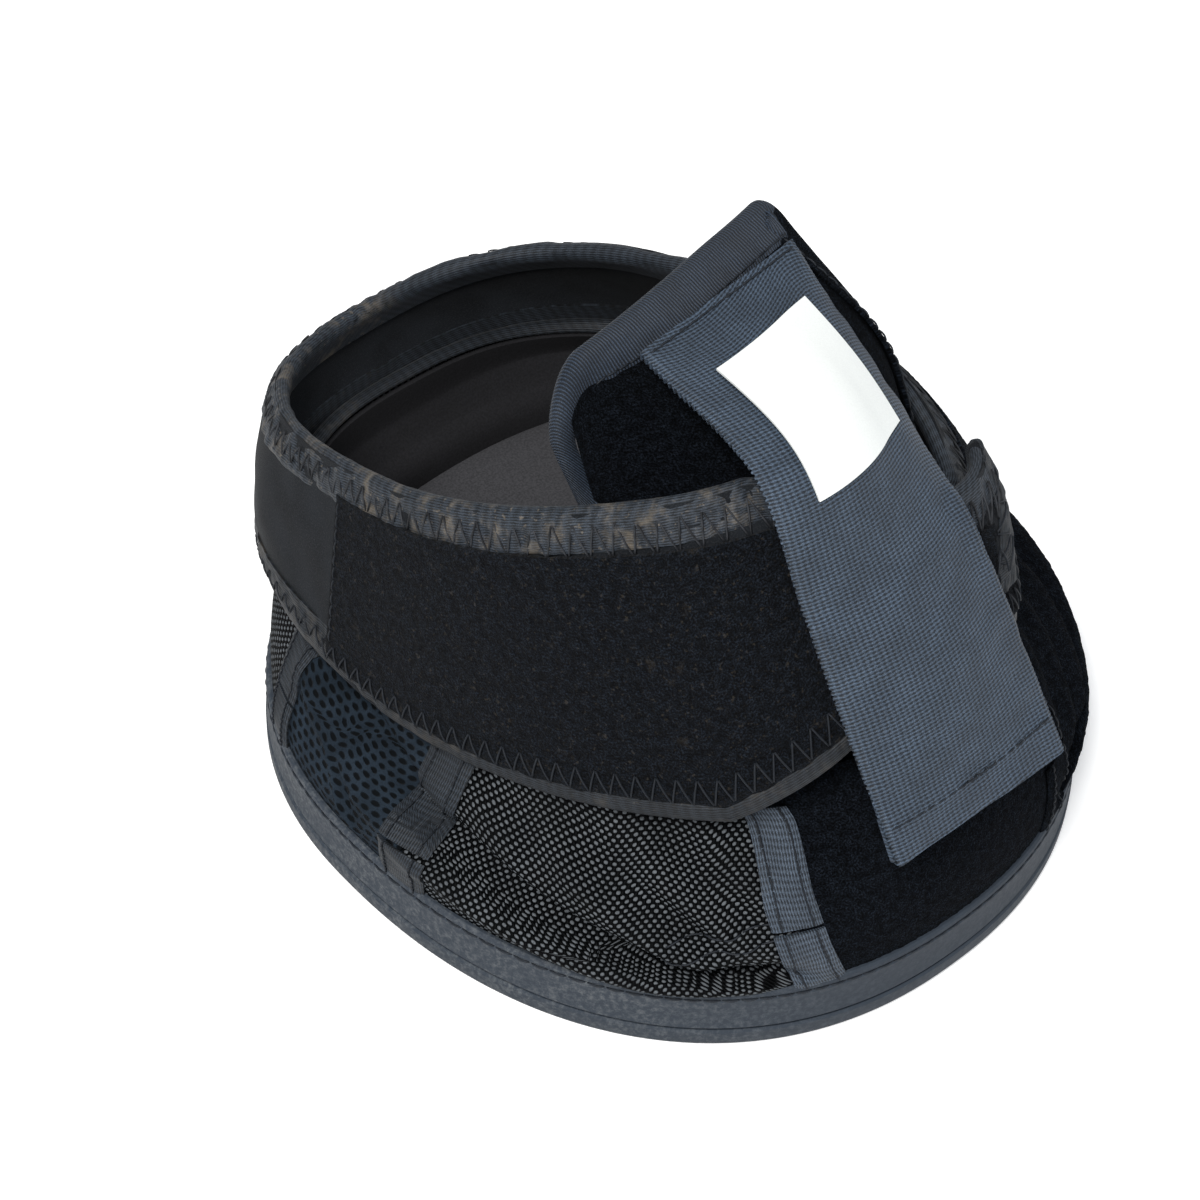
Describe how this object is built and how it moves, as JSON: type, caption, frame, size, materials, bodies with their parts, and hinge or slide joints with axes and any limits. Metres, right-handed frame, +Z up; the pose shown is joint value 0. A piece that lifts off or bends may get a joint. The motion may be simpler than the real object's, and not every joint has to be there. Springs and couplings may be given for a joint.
{
  "type": "horse hoof boot",
  "caption": "Slip-on boot for a horse's hoof: rubber sole and rand, panelled fabric upper, padded pastern collar, tongue and a hook-and-loop strap.",
  "frame": {"origin": "on the sole's bottom face, under the middle of the boot's width and of the hoof", "axes": "+Z up, toe towards -Y, the near side with the longer collar band towards -X"},
  "size_m": [0.139, 0.1555, 0.1047],
  "materials": {
    "sole_rubber": "moulded rubber",
    "ballistic_nylon": "coarse basket weave",
    "air_mesh": "open spacer mesh",
    "loop_pile": "brushed loop pile",
    "strap_webbing": "ribbed webbing",
    "binding_tape": "grosgrain tape",
    "dusty_binding": "grosgrain tape, dusty",
    "neoprene": "jersey-faced neoprene",
    "lining_cloth": "knit lining",
    "hook_tape": "moulded hooks",
    "foam": "closed-cell foam",
    "insole_board": "fibre board",
    "label_cloth": "woven label, blank"
  },
  "bodies": {
    "boot_shell": {"collar_back": "neoprene", "collar_back_low_binding": "binding_tape", "collar_back_top_binding": "dusty_binding", "far_front_lower_tape": "strap_webbing", "far_front_upper_tape": "strap_webbing", "far_heel_lower_tape": "strap_webbing", "far_heel_upper_tape": "strap_webbing", "far_mesh_panel": "air_mesh", "far_rear_lower_tape": "strap_webbing", "far_rear_upper_tape": "strap_webbing", "far_side_panel": "ballistic_nylon", "foam_insole": "foam", "heel_panel": "ballistic_nylon", "insole_board": "insole_board", "lining": "lining_cloth", "near_front_lower_tape": "strap_webbing", "near_front_upper_tape": "strap_webbing", "near_heel_lower_tape": "strap_webbing", "near_heel_upper_tape": "strap_webbing", "near_mesh_panel": "air_mesh", "near_rear_lower_tape": "strap_webbing", "near_rear_upper_tape": "strap_webbing", "near_side_panel": "ballistic_nylon", "outsole": "sole_rubber", "rand": "sole_rubber", "toe_panel": "loop_pile", "upper_top_piping": "binding_tape"},
    "near_band": {"near_band": "neoprene", "near_band_end_binding": "binding_tape", "near_band_hook_patch": "hook_tape", "near_band_loop_face": "loop_pile", "near_band_low_binding": "binding_tape", "near_band_top_binding": "dusty_binding"},
    "far_band": {"far_band": "neoprene", "far_band_end_binding": "binding_tape", "far_band_loop_face": "loop_pile", "far_band_low_binding": "binding_tape", "far_band_top_binding": "dusty_binding"},
    "tongue": {"tongue_far_binding": "binding_tape", "tongue_lining": "lining_cloth", "tongue_loop_face": "loop_pile", "tongue_near_binding": "binding_tape", "tongue_pad": "foam", "tongue_top_binding": "binding_tape"},
    "strap": {"label_patch": "label_cloth", "strap_end_fold": "strap_webbing", "strap_hook_face": "hook_tape", "strap_webbing": "strap_webbing"}
  },
  "joints": [
    {"name": "tongue_tilt", "type": "hinge", "parent": "boot_shell", "child": "tongue", "pos_m": [-0.00121, -0.06306, 0.04938], "axis": [1, 0, 0], "range_deg": [0, 20]},
    {"name": "strap_peel", "type": "hinge", "parent": "tongue", "child": "strap", "pos_m": [0.0025, -0.00783, 0.10209], "axis": [-0.9885, -0.1443, 0.0445], "range_deg": [0, 150]},
    {"name": "near_band_open", "type": "hinge", "parent": "boot_shell", "child": "near_band", "pos_m": [-0.05149, 0.02575, 0.04744], "axis": [-0.2958, -0.2398, -0.9247], "range_deg": [0, 60]},
    {"name": "far_band_open", "type": "hinge", "parent": "boot_shell", "child": "far_band", "pos_m": [0.04543, 0.02578, 0.04757], "axis": [-0.5466, 0.2102, 0.8106], "range_deg": [0, 30]}
  ],
  "couplings": [
    {"joint": "near_band_open", "follows": "strap_peel", "ratio": 0.4},
    {"joint": "far_band_open", "follows": "strap_peel", "ratio": 0.2},
    {"joint": "tongue_tilt", "follows": "strap_peel", "ratio": 0.13333}
  ]
}
